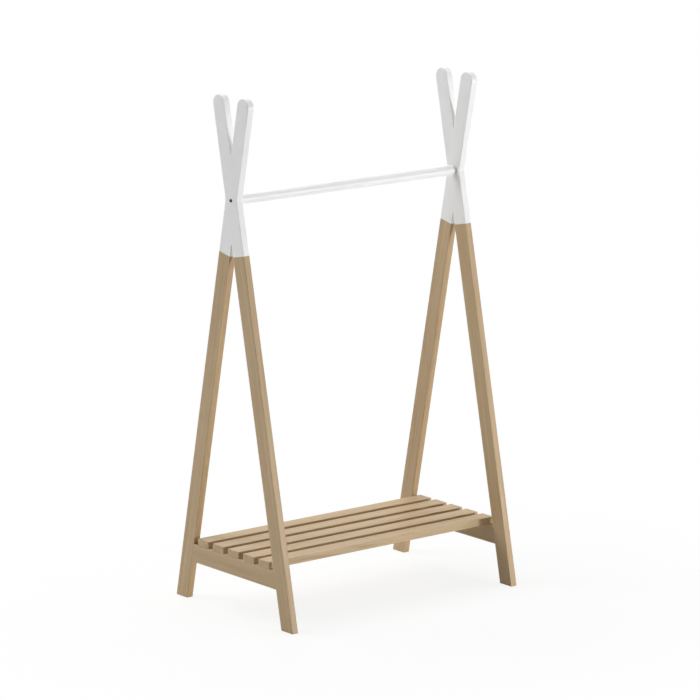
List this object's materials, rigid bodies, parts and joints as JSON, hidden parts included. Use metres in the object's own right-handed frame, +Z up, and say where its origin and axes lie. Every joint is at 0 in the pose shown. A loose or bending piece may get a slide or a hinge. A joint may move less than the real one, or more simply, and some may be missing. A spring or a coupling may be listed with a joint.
{
  "type": "clothes rack",
  "caption": "Child's wooden clothes rack: crossed-leg end frames with rounded white tips carry a round hanging rod between the crossings and a low slatted shelf.",
  "frame": {"origin": "on the floor, below the middle of the hanging rod", "axes": "+X along the hanging rod to the right, -Y to the front, +Z up"},
  "size_m": [0.7276, 0.4756, 1.2951],
  "materials": {
    "natural_wood": "clear matt lacquer on pale wood, white paint on the legs above the line below the crossing",
    "white_painted_wood": "white satin paint",
    "dowel_wood": "raw beech",
    "dark_steel": "black oxide",
    "zinc_steel": "zinc plated"
  },
  "bodies": {
    "root": {"hanging_rod": "white_painted_wood", "left_front_leg": "natural_wood", "left_front_rail_dowels": "dowel_wood", "left_back_leg": "natural_wood", "left_back_rail_dowels": "dowel_wood", "left_shelf_rail": "natural_wood", "left_slat_dowels": "dowel_wood", "left_rod_insert": "zinc_steel", "left_crossing_bolt": "dark_steel", "right_front_leg": "natural_wood", "right_front_rail_dowels": "dowel_wood", "right_back_leg": "natural_wood", "right_back_rail_dowels": "dowel_wood", "right_shelf_rail": "natural_wood", "right_slat_dowels": "dowel_wood", "right_rod_insert": "zinc_steel", "right_crossing_bolt": "dark_steel", "shelf_slat_1": "natural_wood", "shelf_slat_2": "natural_wood", "shelf_slat_3": "natural_wood", "shelf_slat_4": "natural_wood", "shelf_slat_5": "natural_wood"}
  },
  "joints": []
}
